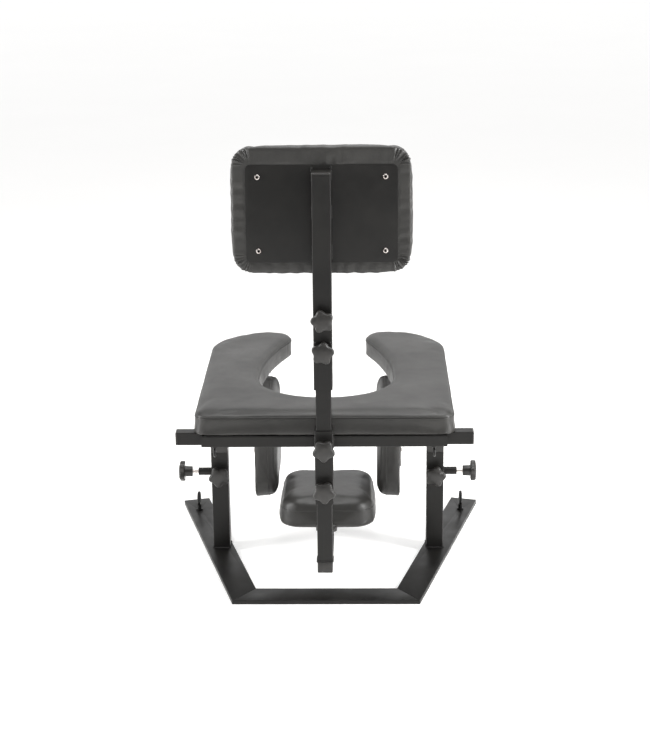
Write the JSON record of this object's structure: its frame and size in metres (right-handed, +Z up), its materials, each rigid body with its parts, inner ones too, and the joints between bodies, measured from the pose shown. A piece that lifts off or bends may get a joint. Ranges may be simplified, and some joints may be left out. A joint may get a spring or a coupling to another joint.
{
  "type": "adjustable padded seat frame",
  "caption": "Freestanding padded horseshoe seat on a V-shaped steel floor frame, with a sliding back pad, a low pad on an extending arm, side pads and star-knob clamps.",
  "frame": {"origin": "on the floor, under the middle of the whole object's box", "axes": "+Z up, +Y from the back post towards the open front of the seat, +X to the right of someone looking along +Y"},
  "size_m": [0.8984, 0.877, 1.242],
  "materials": {
    "frame_steel": "black satin powder coat",
    "blackened_steel": "blackened, slightly glossy",
    "bare_steel": "bright zinc",
    "moulded_plastic": "moulded black, fine texture",
    "vinyl": "black faux leather over foam",
    "plywood": "plain plywood"
  },
  "bodies": {
    "base": {"rear_bar": "frame_steel", "left_arm_bar": "frame_steel", "right_arm_bar": "frame_steel", "left_post_sleeve": "frame_steel", "right_post_sleeve": "frame_steel", "left_pin_barrel": "frame_steel", "right_pin_barrel": "frame_steel", "left_guide_bush": "moulded_plastic", "right_guide_bush": "moulded_plastic", "left_base_eye": "blackened_steel", "right_base_eye": "blackened_steel", "left_pin_spring": "bare_steel", "right_pin_spring": "bare_steel"},
    "left_pin": {"left_pin_rod": "bare_steel", "left_pin_knob": "moulded_plastic"},
    "right_pin": {"right_pin_rod": "bare_steel", "right_pin_knob": "moulded_plastic"},
    "seat": {"left_leg": "frame_steel", "right_leg": "frame_steel", "left_seat_rail": "frame_steel", "right_seat_rail": "frame_steel", "rear_beam": "frame_steel", "cross_tube": "frame_steel", "rear_sleeve": "frame_steel", "left_side_bracket": "frame_steel", "right_side_bracket": "frame_steel", "left_tube_cap": "moulded_plastic", "right_tube_cap": "moulded_plastic", "left_seat_eye": "blackened_steel", "right_seat_eye": "blackened_steel", "seat_board": "plywood", "left_side_board": "plywood", "right_side_board": "plywood", "seat_cushion": "vinyl", "left_side_cushion": "vinyl", "right_side_cushion": "vinyl", "seat_screws": "bare_steel", "side_pad_screws": "bare_steel"},
    "post": {"inner_post": "frame_steel", "arm_sleeve": "frame_steel", "arm_sleeve_cap": "moulded_plastic"},
    "collar": {"stop_collar": "frame_steel"},
    "back": {"outer_post": "frame_steel", "back_plate": "frame_steel", "post_cap": "moulded_plastic", "back_board": "plywood", "back_cushion": "vinyl", "back_plate_screws": "bare_steel"},
    "arm": {"arm_slide": "frame_steel", "low_pad_plate": "frame_steel", "low_pad_board": "plywood", "low_pad_cushion": "vinyl", "low_pad_screws": "bare_steel"},
    "left_post_knob": {"left_post_knob": "moulded_plastic"},
    "right_post_knob": {"right_post_knob": "moulded_plastic"},
    "upper_sleeve_knob": {"upper_sleeve_knob": "moulded_plastic"},
    "lower_sleeve_knob": {"lower_sleeve_knob": "moulded_plastic"},
    "collar_knob": {"collar_knob": "moulded_plastic"},
    "back_pad_knob": {"back_pad_knob": "moulded_plastic"},
    "arm_knob": {"arm_knob": "moulded_plastic"}
  },
  "joints": [
    {"name": "seat_lift", "type": "slide", "parent": "base", "child": "seat", "axis": [0, 0, 1], "range_m": [-0.04, 0.12]},
    {"name": "post_lift", "type": "slide", "parent": "seat", "child": "post", "axis": [0, 0, 1], "range_m": [-0.02, 0.08]},
    {"name": "collar_slide", "type": "slide", "parent": "post", "child": "collar", "axis": [0, 0, 1], "range_m": [-0.09, 0.02]},
    {"name": "back_lift", "type": "slide", "parent": "collar", "child": "back", "axis": [0, 0, 1], "range_m": [-0.006, 0.15]},
    {"name": "arm_extend", "type": "slide", "parent": "post", "child": "arm", "axis": [0, 0.9976, -0.0698], "range_m": [-0.03, 0.06]},
    {"name": "left_pin_pull", "type": "slide", "parent": "base", "child": "left_pin", "axis": [-1, 0, 0], "range_m": [-0.006, 0.012], "stiffness_N_per_m": 600, "springref_m": -0.012, "deforming": ["left_pin_spring"]},
    {"name": "right_pin_pull", "type": "slide", "parent": "base", "child": "right_pin", "axis": [1, 0, 0], "range_m": [-0.006, 0.012], "stiffness_N_per_m": 600, "springref_m": -0.012, "deforming": ["right_pin_spring"]},
    {"name": "left_post_knob_turn", "type": "hinge", "parent": "base", "child": "left_post_knob", "pos_m": [-0.306, 0.00301, 0.239], "axis": [0, -1, 0], "continuous": true},
    {"name": "right_post_knob_turn", "type": "hinge", "parent": "base", "child": "right_post_knob", "pos_m": [0.306, 0.00301, 0.239], "axis": [0, -1, 0], "continuous": true},
    {"name": "upper_sleeve_knob_turn", "type": "hinge", "parent": "seat", "child": "upper_sleeve_knob", "pos_m": [0, -0.40199, 0.466], "axis": [0, -1, 0], "continuous": true},
    {"name": "lower_sleeve_knob_turn", "type": "hinge", "parent": "seat", "child": "lower_sleeve_knob", "pos_m": [0, -0.40199, 0.351], "axis": [0, -1, 0], "continuous": true},
    {"name": "collar_knob_turn", "type": "hinge", "parent": "collar", "child": "collar_knob", "pos_m": [0, -0.40199, 0.7285], "axis": [0, -1, 0], "continuous": true},
    {"name": "back_pad_knob_turn", "type": "hinge", "parent": "back", "child": "back_pad_knob", "pos_m": [0, -0.40199, 0.812], "axis": [0, -1, 0], "continuous": true},
    {"name": "arm_knob_turn", "type": "hinge", "parent": "post", "child": "arm_knob", "pos_m": [0, -0.20171, 0.13955], "axis": [0, 0.0698, 0.9976], "continuous": true}
  ]
}
